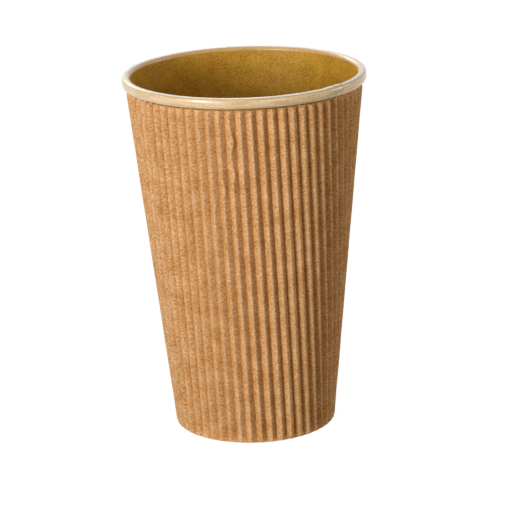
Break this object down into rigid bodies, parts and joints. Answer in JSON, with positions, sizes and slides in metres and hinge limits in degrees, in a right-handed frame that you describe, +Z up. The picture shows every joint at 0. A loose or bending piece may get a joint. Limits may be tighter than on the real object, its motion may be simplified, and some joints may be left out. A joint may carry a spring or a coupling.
{
  "type": "paper coffee cup",
  "caption": "Tapered paper cup for a hot drink, with a rolled rim, a recessed base and a fluted kraft wrap that keeps the hand off the hot wall.",
  "frame": {"origin": "middle of the foot, on the surface that the cup stands on", "axes": "+Z up along the cup's axis, -Y towards the front of the cup as pictured, +X to its right"},
  "size_m": [0.09, 0.09, 0.1351],
  "materials": {
    "coated_board": "satin, coated kraft board with fine fibre specks",
    "base_board": "satin, coated kraft board",
    "kraft_ply": "matt kraft paper with visible fibres"
  },
  "bodies": {
    "root": {"cup_wall": "coated_board", "cup_base": "base_board", "ripple_sleeve": "kraft_ply"}
  },
  "joints": []
}
